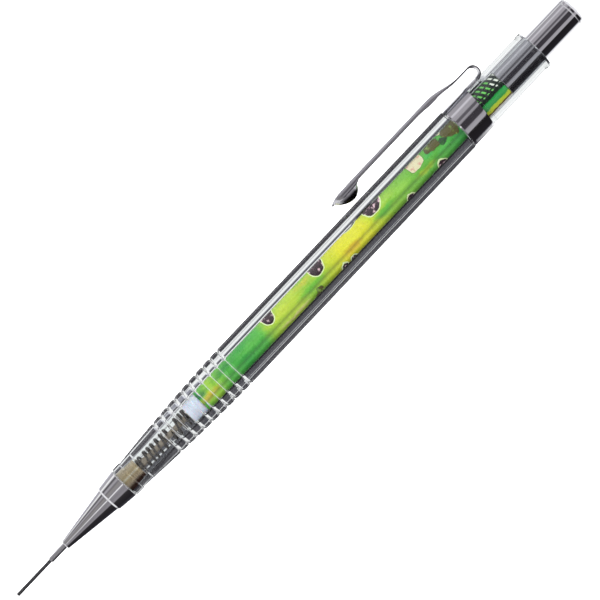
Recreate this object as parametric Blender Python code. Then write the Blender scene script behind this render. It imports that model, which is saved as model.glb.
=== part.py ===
"""Clear-barrel mechanical pencil: twelve-sided barrel, chrome cone, spring clip and push cap.

The pencil lies on one barrel flat. +X runs along it towards the cap, the clip is on the +Y side,
+Z is up and z = 0 is the flat it lies on; x = 0 is halfway along it. Sizes are in millimetres.
Stations are measured along the pencil from the lead sleeve's mouth, towards the cap.
"""
import math

import bmesh
import bpy
from mathutils import Matrix, Vector

for old in list(bpy.data.objects):
    bpy.data.objects.remove(old, do_unlink=True)

MM = 0.001
SEGMENTS = 24  # facets round every round piece: two to each barrel flat, so nested rounds line up
TOUCH = 0.02  # gap between pieces that touch
SLIDE = 0.05  # gap between pieces that slide in each other

# ---- lengths ----
LEAD_LENGTH = 60.0
LEAD_OUT = 9.13  # lead shown in front of the sleeve
SLEEVE_OUT = 3.95  # sleeve shown in front of the cone
CONE_LENGTH = 16.45
BARREL_LENGTH = 113.0
CAP_SHOWN = 10.6
FRONT_COLLAR = 1.9  # the barrel's plain front collar
GRIP_FROM_FRONT = 11.7  # from the barrel's front to the first grip groove
GRIP_PITCH = 2.033
GRIP_GROOVES = 10
GRIP_DEPTH = 0.30
NECK_LENGTH = 14.7  # from the clip band to the barrel's rear end
BAND_WIDTH = 6.2
BAND_TO_BEND = 4.5  # from the band to the U-bend's rearmost point
CLIP_LENGTH = 37.8
PUSH_TRAVEL = 2.5
CAP_INSIDE = 9.05  # cap skirt hidden in the barrel's neck
COLLAR_WIDTH = 5.15
SPRING_ROOM = 13.55
SPRING_TURNS = 11
JAW_LENGTH = 6.1
RING_LENGTH = 1.8
RING_TRAVEL = 0.8
ERASER_LENGTH = 6.0
PIN_LENGTH = 17.0
# ---- radii and walls ----
LEAD_R = 0.35
SLEEVE_WALL = 0.155
CONE_TIP_R = 0.925
CONE_RIDGE_R = 2.50
CONE_REAR_R = 3.23
RIDGE_STEP = 0.30
BARREL_AF = 9.18  # across the barrel's flats
FRONT_AF = 6.40  # the same at the barrel's front taper
FRONT_R = 3.33
BORE_R = 2.40
NECK_R = 4.20
NECK_BORE_R = 3.00
NECK_RIM = 0.10
NECK_CHAMFER = 0.5
STEM_WALL = 0.43
JAW_HEAD_R = 1.25
JAW_SLIT_DEG = 16.0
RING_WALL = 0.47
WIRE_R = 0.20
TUBE_WALL = 0.55
FILM_WALL = 0.18
SHEET = 0.30  # clip sheet
CLIP_RISE = 4.0  # least height of the arm's outer face over the neck
CLIP_OVER_FLAT = 3.61  # and over the barrel's flats
CLIP_HALF = 1.90
BALL_LENGTH = 6.6

# ---- stations ----
CONE_TIP = SLEEVE_OUT
BARREL_FRONT = CONE_TIP + CONE_LENGTH
BARREL_END = BARREL_FRONT + BARREL_LENGTH
CAP_END = BARREL_END + CAP_SHOWN
GRIP_START = BARREL_FRONT + GRIP_FROM_FRONT
GRIP_END = GRIP_START + (GRIP_GROOVES - 1) * GRIP_PITCH + 0.4
BAND_END = BARREL_END - NECK_LENGTH
BAND_START = BAND_END - BAND_WIDTH
BEND_END = BAND_END + BAND_TO_BEND
CLIP_TIP = BEND_END - CLIP_LENGTH
CAP_START = BARREL_END - CAP_INSIDE
COLLAR_START = CAP_START - 0.1 - COLLAR_WIDTH
NECK_STEP = COLLAR_START - PUSH_TRAVEL - 0.2 - NECK_CHAMFER
RIDGE = BARREL_FRONT - 4.53
JAW_HINGE = BARREL_FRONT - 0.45
JAW_REAR = JAW_HINGE - SLIDE
JAW_FRONT = JAW_REAR - JAW_LENGTH
HOUSING_START = BARREL_FRONT - 3.2
HOUSING_END = BARREL_FRONT + 4.1
RING_END = HOUSING_START - 0.2
RING_START = RING_END - RING_LENGTH
RING_STOP = RING_START - RING_TRAVEL - SLIDE
CAVITY_START = JAW_FRONT - PUSH_TRAVEL - 0.3
POCKET_START = CAVITY_START - 2.8
SLEEVE_END = POCKET_START - 1.2
CONNECTOR_START = HOUSING_END + SPRING_ROOM
TUBE_START = CONNECTOR_START + 3.4
TUBE_END = BARREL_END + 0.6
FERRULE_FLOOR = TUBE_END + 1.0
AXIS_Z = BARREL_AF / 2
MIDDLE = (CAP_END - LEAD_OUT) / 2

# ---- radii that follow from the ones above ----
LEAD_RUN_R = LEAD_R + 0.03  # jaws
STEM_BORE_R = LEAD_R + 0.07
STEM_R = STEM_BORE_R + STEM_WALL
SLEEVE_BORE_R = LEAD_R + 0.07
SLEEVE_R = SLEEVE_BORE_R + SLEEVE_WALL
RETAINER_R = LEAD_R + 0.65
RING_BORE_R = JAW_HEAD_R - 0.12
RING_R = RING_BORE_R + RING_WALL
HOUSING_R = BORE_R - 0.12
SPRING_R = STEM_R + 0.35 + WIRE_R  # to the middle of the wire
FILM_R = BORE_R - 0.10
TUBE_R = FILM_R - FILM_WALL - TOUCH
TUBE_BORE_R = TUBE_R - TUBE_WALL
CAP_R = NECK_BORE_R - 0.08
CAP_BORE_R = TUBE_R + SLIDE + TOUCH
COLLAR_R = CAP_R - 0.04
ERASER_R = TUBE_R - 0.30
PIN_R = 0.20
BAND_R = NECK_R - 0.04
ROUND_CORNER = math.cos(math.pi / 12)  # a flat's middle is this much nearer the axis than its corners


def material(name, colour, metallic=0.0, rough=0.3, clear=0.0):
    made = bpy.data.materials.new(name)
    made.use_nodes = True
    shader = made.node_tree.nodes["Principled BSDF"]
    shader.inputs["Base Color"].default_value = (*colour, 1)
    shader.inputs["Metallic"].default_value = metallic
    shader.inputs["Roughness"].default_value = rough
    shader.inputs["Transmission Weight"].default_value = clear
    made.diffuse_color = (*colour, 1 - 0.7 * clear)
    return made


def finish(name, bm, made, origin=(MIDDLE, 0.0, AXIS_Z)):
    """Turn a mesh in stations and millimetres into an object, with its origin at the given point."""
    bmesh.ops.remove_doubles(bm, verts=bm.verts[:], dist=1e-4)
    bmesh.ops.recalc_face_normals(bm, faces=bm.faces[:])
    bm.transform(Matrix.Scale(MM, 4) @ Matrix.Translation(-Vector(origin)))
    for face in bm.faces:
        face.smooth = True
    mesh = bpy.data.meshes.new(name)
    bm.to_mesh(mesh)
    bm.free()
    mesh.set_sharp_from_angle(angle=math.radians(35))
    mesh.materials.append(made)
    ob = bpy.data.objects.new(name, mesh)
    ob.location = (Vector(origin) - Vector((MIDDLE, 0, 0))) * MM
    bpy.context.scene.collection.objects.link(ob)
    return ob


def lathe(profile, ring, centre=(0.0, AXIS_Z)):
    """Spin a profile of (station, radius) right round an axis. ring: the profile is a closed loop."""
    bm = bmesh.new()
    y, z = centre
    verts = [bm.verts.new((u, y, z + r)) for u, r in profile]
    edges = [bm.edges.new(pair) for pair in zip(verts, verts[1:])]
    if ring:
        edges.append(bm.edges.new((verts[-1], verts[0])))
    bmesh.ops.spin(bm, geom=verts + edges, cent=(0, y, z), axis=(1, 0, 0), angle=2 * math.pi,
                   steps=SEGMENTS, use_merge=True)
    return bm


def sector(profile, start_deg, sweep_deg, steps):
    """Spin a closed profile part of the way round the pencil's axis, from an angle measured from +Z."""
    bm = bmesh.new()
    verts = [bm.verts.new((u, 0, AXIS_Z + r)) for u, r in profile]
    bm.faces.new(verts)
    about = Vector((0, 0, AXIS_Z))
    bmesh.ops.rotate(bm, verts=verts, cent=about, matrix=Matrix.Rotation(math.radians(start_deg), 3, "X"))
    bmesh.ops.spin(bm, geom=verts + bm.edges[:] + bm.faces[:], cent=about, axis=(1, 0, 0),
                   angle=math.radians(sweep_deg), steps=steps)
    return bm


def solid(name, profile, made, **more):
    """A round piece whose profile starts and ends on the axis."""
    return finish(name, lathe(profile, ring=False), made, **more)


def tube(name, profile, made):
    """A round piece with a hole right through it."""
    return finish(name, lathe(profile, ring=True), made)


# ---- barrel: round in front, twelve flats from the grip to the clip band, round neck ----
def across_flats(u):
    """The barrel swells from its front taper to its full size at the end of the grip."""
    t = min(1.0, (u - BARREL_FRONT - FRONT_COLLAR) / (GRIP_END - BARREL_FRONT - FRONT_COLLAR))
    return FRONT_AF + (BARREL_AF - FRONT_AF) * (1 - (1 - t) ** 1.65)


def flatness(u):
    """0 where the barrel is round, 1 where it is twelve-sided."""
    taper = GRIP_START - 2.0 - BARREL_FRONT - FRONT_COLLAR
    return min(1.0, max(0.0, (u - BARREL_FRONT - FRONT_COLLAR) / taper))


def corner(u, groove=0.0):
    """The barrel's corner radius at a station, less the depth of a grip groove."""
    return (u, (across_flats(u) / 2 - groove) / (1 - (1 - ROUND_CORNER) * flatness(u)), flatness(u))


def barrel():
    front = BARREL_FRONT + FRONT_COLLAR
    outside = [(BARREL_FRONT, FRONT_R - 0.09, 0), (BARREL_FRONT + 0.12, FRONT_R, 0)]
    outside.append((front - 0.15, FRONT_R, 0))
    taper = GRIP_START - 1.0 - front
    outside += [corner(front + taper * k / 6) for k in range(7)]
    for i in range(GRIP_GROOVES):
        groove = GRIP_START + i * GRIP_PITCH
        for side, depth in ((-0.42, 0), (-0.15, 0.4), (0, 1), (0.15, 0.4), (0.42, 0)):
            outside.append(corner(groove + side, depth * GRIP_DEPTH))
    full = BARREL_AF / 2 / ROUND_CORNER
    plain = BAND_START - 0.25 - (GRIP_END + 0.8)
    outside += [(GRIP_END + 0.8 + plain * k / 4, full, 1) for k in range(5)]
    outside += [(BAND_START - 0.05, full - 0.2, 0.6), (BAND_START, NECK_R - 0.07, 0)]
    outside += [(BAND_END + TOUCH, NECK_R - 0.07, 0), (BAND_END + 2 * TOUCH, NECK_R, 0)]
    outside += [(BARREL_END - 1.1, NECK_R, 0), (BARREL_END - 0.9, NECK_R + NECK_RIM, 0)]
    outside += [(BARREL_END - 0.15, NECK_R + NECK_RIM, 0), (BARREL_END, NECK_R - 0.05, 0)]
    inside = [(BARREL_END, NECK_BORE_R + 0.1), (BARREL_END - 0.2, NECK_BORE_R)]
    inside += [(NECK_STEP + NECK_CHAMFER, NECK_BORE_R), (NECK_STEP, BORE_R)]
    inside += [((NECK_STEP + HOUSING_END) / 2, BORE_R), (HOUSING_END + 0.6, BORE_R)]
    inside += [(HOUSING_END + 0.3, HOUSING_R + TOUCH)]
    inside += [(BARREL_FRONT, HOUSING_R + TOUCH)]
    bm = lathe([(u, r) for u, r, _ in outside] + inside, ring=True)
    wall = max(r for _, r in inside[3:]) + 0.2
    for v in bm.verts:
        y, z = v.co.y, v.co.z - AXIS_Z
        flat = min(outside, key=lambda station: abs(station[0] - v.co.x))[2]
        facet = round(math.atan2(y, z) / (2 * math.pi / SEGMENTS))
        if v.co.x < BAND_START and math.hypot(y, z) > wall and facet % 2 == 0:
            inwards = 1 - (1 - ROUND_CORNER) * flat
            v.co.y, v.co.z = y * inwards, AXIS_Z + z * inwards
    return finish("barrel", bm, CLEAR)


# ---- tip: cone with a retainer pocket, a chuck cavity and a threaded seat; lead sleeve; retainer ----
def tip():
    seat = HOUSING_R + 0.08
    cavity = JAW_HEAD_R + 0.25
    ring_room = RING_R + 0.10
    pocket = RETAINER_R + TOUCH
    rear = BARREL_FRONT - TOUCH
    sleeve_floor = SLEEVE_END + TOUCH
    cone = [(CONE_TIP, SLEEVE_R + TOUCH), (CONE_TIP, CONE_TIP_R - 0.12), (CONE_TIP + 0.12, CONE_TIP_R)]
    cone += [(RIDGE, CONE_RIDGE_R), (RIDGE + TOUCH, CONE_RIDGE_R + 0.7 * RIDGE_STEP)]
    cone += [(RIDGE + 0.25, CONE_RIDGE_R + RIDGE_STEP), (rear - 0.1, CONE_REAR_R), (rear, CONE_REAR_R - 0.07)]
    cone += [(rear, seat), (HOUSING_START - 0.3, seat), (HOUSING_START - 0.3, ring_room)]
    cone += [(RING_STOP, ring_room), (RING_STOP, cavity), (CAVITY_START, cavity), (CAVITY_START, pocket)]
    cone += [(POCKET_START, pocket), (POCKET_START, LEAD_R + 0.10), (sleeve_floor, LEAD_R + 0.10)]
    cone.append((sleeve_floor, SLEEVE_R + TOUCH))
    tube("cone", cone, CHROME)
    tube("lead_sleeve", [(0, SLEEVE_BORE_R), (0, SLEEVE_R - 0.05), (0.06, SLEEVE_R), (SLEEVE_END, SLEEVE_R),
                         (SLEEVE_END, SLEEVE_BORE_R)], SLEEVE_STEEL)
    front = POCKET_START + TOUCH
    rear = front + 1.4
    tube("lead_retainer", [(front, LEAD_R + TOUCH), (front, RETAINER_R), (rear, RETAINER_R),
                           (rear, LEAD_R + 0.15), (rear - 0.4, LEAD_R + TOUCH)], RUBBER)


# ---- chuck: three jaws on a brass stem, the ring that closes them, the housing they run in ----
def chuck():
    front = JAW_FRONT
    jaw = [(front, LEAD_RUN_R + 0.10), (front, JAW_HEAD_R - 0.15), (front + 0.15, JAW_HEAD_R)]
    jaw += [(front + 0.85, JAW_HEAD_R - 0.06), (RING_END - 0.1, STEM_R + 0.05), (RING_END + 0.6, STEM_R)]
    jaw += [(JAW_REAR, STEM_R), (JAW_REAR, LEAD_RUN_R), (front + 0.15, LEAD_RUN_R)]
    hinge_r = (LEAD_RUN_R + STEM_R) / 2
    for i in range(3):
        middle = 120 * i
        bm = sector(jaw, middle - 60 + JAW_SLIT_DEG / 2, 120 - JAW_SLIT_DEG, 8)
        a = math.radians(middle)
        hinge = (JAW_HINGE, -hinge_r * math.sin(a), AXIS_Z + hinge_r * math.cos(a))
        finish(f"jaw_{i + 1}", bm, JAW_BRASS, origin=hinge)
    rear_bore = STEM_R + 0.12
    tube("clutch_ring", [(RING_START, RING_BORE_R), (RING_START, RING_R - 0.1), (RING_START + 0.1, RING_R),
                         (RING_END - 0.1, RING_R), (RING_END, RING_R - 0.1), (RING_END, rear_bore)],
         RING_BRASS)
    seat_end = BARREL_FRONT + 1.8
    bore = STEM_R + 0.15
    tube("chuck_housing", [(HOUSING_START, bore), (HOUSING_START, HOUSING_R - 0.2),
                           (HOUSING_START + 0.2, HOUSING_R), (seat_end, HOUSING_R),
                           (seat_end + 0.15, HOUSING_R - 0.18), (HOUSING_END - 0.15, HOUSING_R - 0.18),
                           (HOUSING_END, HOUSING_R - 0.3), (HOUSING_END, bore)], BRASS)
    stem_end = CONNECTOR_START + 2.95
    tube("chuck_stem", [(JAW_HINGE + SLIDE, STEM_BORE_R), (JAW_HINGE + SLIDE, STEM_R), (stem_end, STEM_R),
                        (stem_end, STEM_BORE_R)], STEM_BRASS)


# ---- return spring: one closed turn at each end, open turns between, closer towards the rear ----
def spring():
    bm = bmesh.new()
    first = HOUSING_END + WIRE_R + 2 * TOUCH
    last = CONNECTOR_START - WIRE_R - 2 * TOUCH
    closed = 2.1 * WIRE_R / (last - first)
    steps, sides = 16, 6
    loops = []
    for i in range(SPRING_TURNS * steps + 1):
        turn = i / steps
        if turn <= 1:
            share = closed * turn
        elif turn >= SPRING_TURNS - 1:
            share = 1 - closed * (SPRING_TURNS - turn)
        else:
            t = (turn - 1) / (SPRING_TURNS - 2)
            share = closed + (1 - 2 * closed) * (t + 0.16 * t * (1 - t))
        a = 2 * math.pi * turn
        out = Vector((0, math.sin(a), math.cos(a)))
        middle = Vector((first + (last - first) * share, 0, AXIS_Z)) + out * SPRING_R
        loop = []
        for k in range(sides):
            b = 2 * math.pi * (k + 0.5) / sides
            loop.append(bm.verts.new(middle + WIRE_R * (out * math.cos(b) + Vector((math.sin(b), 0, 0)))))
        loops.append(loop)
    for a, b in zip(loops, loops[1:]):
        for k in range(sides):
            bm.faces.new((a[k], a[(k + 1) % sides], b[(k + 1) % sides], b[k]))
    bm.faces.new(loops[0])
    bm.faces.new(loops[-1])
    finish("return_spring", bm, SPRING_STEEL, origin=(HOUSING_END, 0, AXIS_Z))


# ---- push train: connector, lead tube, printed film and collar, cap, eraser and pin ----
def push_train():
    spigot = TUBE_BORE_R - 0.03
    face = TUBE_START - TOUCH
    stem_floor = CONNECTOR_START + 2.95 + TOUCH
    connector = [(CONNECTOR_START, STEM_R + TOUCH), (CONNECTOR_START, FILM_R - 0.5)]
    connector += [(CONNECTOR_START + 0.15, FILM_R - 0.35), (face, FILM_R - 0.35), (face, spigot)]
    connector += [(face + 4.6, spigot), (face + 4.6, LEAD_R + 0.35), (face + 4.1, LEAD_R + 0.15)]
    connector += [(stem_floor, LEAD_R + 0.15), (stem_floor, STEM_R + TOUCH)]
    tube("chuck_connector", connector, MILKY)
    plain_tube("lead_tube", TUBE_START, TUBE_END, TUBE_BORE_R, TUBE_R, WHITE)
    plain_tube("printed_film", TUBE_START + 0.05, COLLAR_START - 0.2, TUBE_R + TOUCH, FILM_R, FILM)
    collar_end = COLLAR_START + COLLAR_WIDTH
    tube("printed_collar", [(COLLAR_START, TUBE_R + TOUCH), (COLLAR_START, COLLAR_R - 0.08),
                            (COLLAR_START + 0.08, COLLAR_R), (collar_end, COLLAR_R),
                            (collar_end, TUBE_R + TOUCH)], COLLAR)
    ceiling = CAP_END - 0.8
    solid("push_cap", [(ceiling, 0), (ceiling, CAP_BORE_R - 0.2), (ceiling - 0.2, CAP_BORE_R),
                       (CAP_START, CAP_BORE_R), (CAP_START, CAP_R - 0.08), (CAP_START + 0.08, CAP_R),
                       (CAP_END - 1.1, CAP_R), (CAP_END - 0.62, CAP_R - 0.08), (CAP_END - 0.22, CAP_R - 0.32),
                       (CAP_END, CAP_R - 0.75), (CAP_END, 0)], CAP_CHROME)
    plug = TUBE_END - 3.5
    cup = TUBE_END + TOUCH
    tube("eraser_ferrule", [(plug, PIN_R + TOUCH), (plug, spigot - 0.1), (plug + 0.2, spigot), (cup, spigot),
                            (cup, TUBE_R - TOUCH), (FERRULE_FLOOR + 2.5, TUBE_R - TOUCH),
                            (FERRULE_FLOOR + 2.5, ERASER_R + TOUCH), (FERRULE_FLOOR, ERASER_R + TOUCH),
                            (FERRULE_FLOOR, PIN_R + TOUCH)], FERRULE)
    base = FERRULE_FLOOR + TOUCH
    top = base + ERASER_LENGTH
    solid("eraser", [(base, 0), (base, ERASER_R), (top - 0.4, ERASER_R), (top, ERASER_R - 0.35),
                     (top, 0)], ERASER)
    point = FERRULE_FLOOR - PIN_LENGTH
    solid("cleaning_pin", [(point, 0), (point + 0.1, PIN_R / 2), (point + 0.35, PIN_R),
                           (FERRULE_FLOOR, PIN_R), (FERRULE_FLOOR, 0)], PIN)


def plain_tube(name, start, end, bore, outside, made):
    middle = (start + end) / 2
    tube(name, [(start, bore), (start, outside), (middle, outside), (end, outside), (end, bore),
                (middle, bore)], made)


# ---- leads: the one in the chuck and three spares beside the axis in the lead tube ----
def leads():
    rear = LEAD_LENGTH - LEAD_OUT
    solid("lead", [(-LEAD_OUT, 0), (-LEAD_OUT, LEAD_R - 0.06), (-LEAD_OUT + 0.08, LEAD_R), (rear / 2, LEAD_R),
                   (rear, LEAD_R), (rear, 0)], GRAPHITE)
    start = rear + 1.1
    off = (TUBE_BORE_R + LEAD_R) / 2
    for i in range(3):
        a = math.radians(120 * i + 60)
        centre = (-off * math.sin(a), AXIS_Z + off * math.cos(a))
        outline = [(start, 0), (start, LEAD_R), (start + LEAD_LENGTH, LEAD_R), (start + LEAD_LENGTH, 0)]
        bm = lathe(outline, ring=False, centre=centre)
        finish(f"spare_lead_{i + 1}", bm, SPARE, origin=(start, *centre))


# ---- clip: a band round the neck with a tongue, and a sprung arm that starts at the U-bend ----
TONGUE_R = NECK_R + TOUCH
BEND_START = BEND_END - 1.65
TONGUE_HALF_DEG = 30
CLIP_TOP = max(NECK_R + CLIP_RISE, BARREL_AF / 2 + CLIP_OVER_FLAT)
BEND_R = 1.1  # to the middle of the sheet


def clip_band():
    start = BAND_START + 0.05
    end = BAND_END - TOUCH
    outside = BAND_R + SHEET
    band = tube("clip_band", [(start, BAND_R), (start, outside - 0.05), (start + 0.07, outside),
                              (end - 0.05, outside), (end, outside - 0.05), (end, BAND_R)], BAND_STEEL)
    root = BAND_END - 0.6
    outside = TONGUE_R + SHEET
    bm = sector([(root, TONGUE_R), (root, outside), (BEND_START, outside), (BEND_START, TONGUE_R)],
                -90 - TONGUE_HALF_DEG, 2 * TONGUE_HALF_DEG, 4)
    tongue = finish("tongue_cutter", bm, BAND_STEEL)
    tongue.hide_render = True
    tongue.display_type = "WIRE"
    join = band.modifiers.new("tongue", "BOOLEAN")
    join.operation = "UNION"
    join.solver = "EXACT"
    join.object = tongue


def clip_path():
    """The middle of the clip's sheet, as (station, distance from the axis), from its root to its tip."""
    root = TONGUE_R + SHEET / 2
    top = CLIP_TOP - SHEET / 2
    leg = top - 1.33
    turn = BEND_END - SHEET / 2 - BEND_R
    path = [(BEND_START + TOUCH, root)]
    for quarter in range(5):
        a = math.pi / 8 * quarter
        path.append((turn + BEND_R * math.sin(a), root + BEND_R - BEND_R * math.cos(a)))
    for quarter in range(5):
        a = math.pi / 8 * quarter
        path.append((turn + BEND_R * math.cos(a), leg - BEND_R + BEND_R * math.sin(a)))
    path.append((BAND_END + 0.9, leg))
    rise = 7.3  # the shoulder, where the sheet climbs to the arm
    for k in range(1, 7):
        t = k / 6
        path.append((BAND_END + 0.9 - rise * t, leg + (top - leg) * (3 * t * t - 2 * t ** 3)))
    spoon = CLIP_TIP + 8.2
    arm = BAND_END + 0.9 - rise - spoon
    path += [(spoon + arm * (1 - k / 4), top) for k in range(1, 5)]
    for k in range(1, 13):
        t = k / 12
        path.append((spoon - (spoon - CLIP_TIP) * t, top - 1.08 * t ** 1.9))
    return path


def clip_half(u):
    """Half the sheet's width: a little narrower along the arm, a rounded spoon at the tip."""
    from_tip = u - CLIP_TIP
    spoon = 1.0 * CLIP_HALF * math.sqrt(max(0.30, 1 - (1 - min(1.0, from_tip / 2.6)) ** 2))
    arm = CLIP_HALF * (1 - 0.12 * math.sin(math.pi * min(1.0, max(0.0, from_tip - 4.0) / 26.0)))
    wide = 0.30 * min(1.0, max(0.0, (u - BAND_START + 2.0) / 11.0))
    return min(spoon, arm) + wide


def clip_sides(u):
    """How far the sheet's edges turn down towards the barrel: a channel, deepest at the shoulder."""
    from_tip = u - CLIP_TIP
    channel = 0.64 * min(1.0, from_tip / 8.0) ** 0.8
    shoulder = max(0.0, 1 - abs(u - BAND_START) / 3.0)
    fade = min(1.0, max(0.0, (BAND_END - u) / 5.0))
    return (channel + 0.30 * shoulder) * fade


def clip_arm():
    path = clip_path()
    root_rows = 6
    root_drop = TONGUE_R * (1 - math.cos(math.radians(TONGUE_HALF_DEG)))
    root_half = TONGUE_R * math.sin(math.radians(TONGUE_HALF_DEG))
    ball_at = CLIP_TIP + 4.15
    across = [-1, -0.86, -0.7, -0.5, -0.32, -0.15, 0, 0.15, 0.32, 0.5, 0.7, 0.86, 1]
    bm = bmesh.new()
    outer, inner = [], []
    for i, (u, y) in enumerate(path):
        before = path[max(0, i - 1)]
        after = path[min(len(path) - 1, i + 1)]
        along = Vector((after[0] - before[0], after[1] - before[1])).normalized()
        normal = Vector((0, -1)) if i == 0 else Vector((along.y, -along.x))
        half = root_half if i < root_rows else clip_half(min(u, BEND_START))
        outer_row, inner_row = [], []
        for t in across:
            dent = 0.0
            if i < root_rows:  # the root follows the neck and flattens out round the bend
                point = Vector((u, y)) + normal * root_drop * (1 - i / (root_rows - 1)) * t * t
            else:
                point = Vector((u, y)) - normal * clip_sides(u) * abs(t) ** 3
                away = (2 * (u - ball_at) / BALL_LENGTH) ** 2 + (half * t / 1.5) ** 2
                dent = max(0.0, 1 - away) ** 0.8
            a = point + normal * SHEET / 2
            b = point - normal * SHEET / 2
            outer_row.append(bm.verts.new((a.x, a.y - 1.55 * dent, AXIS_Z + half * t)))
            inner_row.append(bm.verts.new((b.x, b.y - 2.42 * dent, AXIS_Z + half * t)))
        outer.append(outer_row)
        inner.append(inner_row)
    columns = range(len(across) - 1)
    for rows in (outer, inner):
        for a, b in zip(rows, rows[1:]):
            for k in columns:
                bm.faces.new((a[k], a[k + 1], b[k + 1], b[k]))
    for i in range(len(path) - 1):
        for k in (0, -1):
            bm.faces.new((outer[i][k], outer[i + 1][k], inner[i + 1][k], inner[i][k]))
    for i in (0, -1):
        for k in columns:
            bm.faces.new((outer[i][k], outer[i][k + 1], inner[i][k + 1], inner[i][k]))
    finish("clip_arm", bm, CLIP_STEEL, origin=(*path[0], AXIS_Z))


CLEAR = material("clear_plastic", (0.93, 0.95, 0.97), rough=0.05, clear=1.0)
CHROME = material("chrome", (0.62, 0.62, 0.64), 1.0, 0.12)
CLIP_STEEL = material("clip_steel", (0.60, 0.60, 0.62), 1.0, 0.18)
BAND_STEEL = material("band_steel", (0.60, 0.60, 0.62), 1.0, 0.15)
CAP_CHROME = material("cap_chrome", (0.62, 0.62, 0.64), 1.0, 0.14)
SLEEVE_STEEL = material("sleeve_steel", (0.55, 0.55, 0.57), 1.0, 0.22)
BRASS = material("housing_brass", (0.50, 0.40, 0.20), 1.0, 0.25)
STEM_BRASS = material("stem_brass", (0.55, 0.43, 0.20), 1.0, 0.28)
JAW_BRASS = material("jaw_brass", (0.60, 0.47, 0.22), 1.0, 0.28)
RING_BRASS = material("ring_brass", (0.45, 0.36, 0.18), 1.0, 0.25)
SPRING_STEEL = material("spring_steel", (0.22, 0.20, 0.19), 1.0, 0.35)
MILKY = material("milky_plastic", (0.72, 0.74, 0.80), rough=0.35)
WHITE = material("white_plastic", (0.80, 0.80, 0.78), rough=0.40)
FILM = material("green_film", (0.10, 0.42, 0.08), rough=0.30)
COLLAR = material("collar_print", (0.10, 0.38, 0.06), rough=0.30)
GRAPHITE = material("graphite", (0.03, 0.03, 0.035), 0.2, 0.40)
SPARE = material("spare_graphite", (0.03, 0.03, 0.035), 0.2, 0.40)
RUBBER = material("retainer_rubber", (0.05, 0.05, 0.05), rough=0.70)
ERASER = material("eraser_vinyl", (0.85, 0.85, 0.83), rough=0.75)
FERRULE = material("ferrule_plastic", (0.75, 0.75, 0.72), rough=0.40)
PIN = material("pin_steel", (0.45, 0.45, 0.46), 1.0, 0.30)

barrel()
tip()
chuck()
spring()
push_train()
leads()
clip_band()
clip_arm()
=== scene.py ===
"""Looks for the clear-barrel mechanical pencil.

Fine meshes, materials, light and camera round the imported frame. Sizes come from the frame's boxes and the
named values below, in metres unless a comment says otherwise.
"""
import math

import bmesh
import bpy
from mathutils import Matrix, Vector


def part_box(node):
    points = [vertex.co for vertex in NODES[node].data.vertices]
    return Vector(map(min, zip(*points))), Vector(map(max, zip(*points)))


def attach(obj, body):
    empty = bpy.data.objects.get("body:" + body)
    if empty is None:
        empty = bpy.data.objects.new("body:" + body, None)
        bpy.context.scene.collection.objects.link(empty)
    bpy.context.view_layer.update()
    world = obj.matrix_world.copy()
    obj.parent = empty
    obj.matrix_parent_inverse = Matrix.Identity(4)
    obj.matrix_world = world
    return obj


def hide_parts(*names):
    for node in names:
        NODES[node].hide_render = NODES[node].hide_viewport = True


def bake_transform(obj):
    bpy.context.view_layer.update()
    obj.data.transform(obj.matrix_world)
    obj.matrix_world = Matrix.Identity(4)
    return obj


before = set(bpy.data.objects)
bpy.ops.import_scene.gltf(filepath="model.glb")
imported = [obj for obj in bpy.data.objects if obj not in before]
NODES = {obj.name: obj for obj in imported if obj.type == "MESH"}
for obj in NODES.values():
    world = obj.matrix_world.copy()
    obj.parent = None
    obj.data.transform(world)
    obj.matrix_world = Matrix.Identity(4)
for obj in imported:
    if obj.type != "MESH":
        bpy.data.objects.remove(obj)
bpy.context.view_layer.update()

MM = 0.001
ROUND = 96  # facets round a turned piece
FINE_ROUND = 128  # round the plated ones
SMALL_ROUND = 64  # round those inside
THIN_ROUND = 48  # round the thin ones
BARREL_ROUND = 144
SOFT = 0.04 * MM  # how far a corner is rounded off, where nothing else is said
TOUCH = 0.02 * MM  # gap between pieces that seat on each other
PLAY = 0.07 * MM  # gap round the lead and round the tube in their holes
SPIGOT_R = 1.47 * MM  # of the plugs that hold the lead tube at both ends
SHARP = math.radians(42)  # edges sharper than this keep their crease


# ---- places, all read from the frame ----
def span(node):
    """(front, rear, outside radius) of a round node."""
    low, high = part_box(node)
    return low[0], high[0], (high[2] - low[2]) / 2


BARREL_FRONT, BARREL_END, BARREL_HALF = span("barrel")
AXIS_Z = BARREL_HALF
CONE_TIP, CONE_END, CONE_R = span("cone")
SLEEVE_TIP, SLEEVE_END, SLEEVE_R = span("lead_sleeve")
LEAD_TIP, LEAD_END, LEAD_R = span("lead")
HOUSING_START, HOUSING_END, HOUSING_R = span("chuck_housing")
SPRING_OUT = span("return_spring")[2]
STEM_START, STEM_END, STEM_R = span("chuck_stem")
CONNECTOR_START, CONNECTOR_END, CONNECTOR_R = span("chuck_connector")
TUBE_START, TUBE_END, TUBE_R = span("lead_tube")
FILM_START, FILM_END, FILM_R = span("printed_film")
COLLAR_START, COLLAR_END, COLLAR_R = span("printed_collar")
CAP_START, CAP_END, CAP_R = span("push_cap")
RING_START, RING_END, RING_R = span("clutch_ring")
FERRULE_START, FERRULE_END, FERRULE_R = span("eraser_ferrule")
ERASER_START, ERASER_END, ERASER_R = span("eraser")
PIN_R = span("cleaning_pin")[2]
RETAINER_START, RETAINER_END, RETAINER_R = span("lead_retainer")
BAND_LOW, BAND_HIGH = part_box("clip_band")
ARM_LOW, ARM_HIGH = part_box("clip_arm")
CLIP_TOP = ARM_HIGH[1]
CLIP_TIP = ARM_LOW[0]
BEND_END = ARM_HIGH[0]

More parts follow.
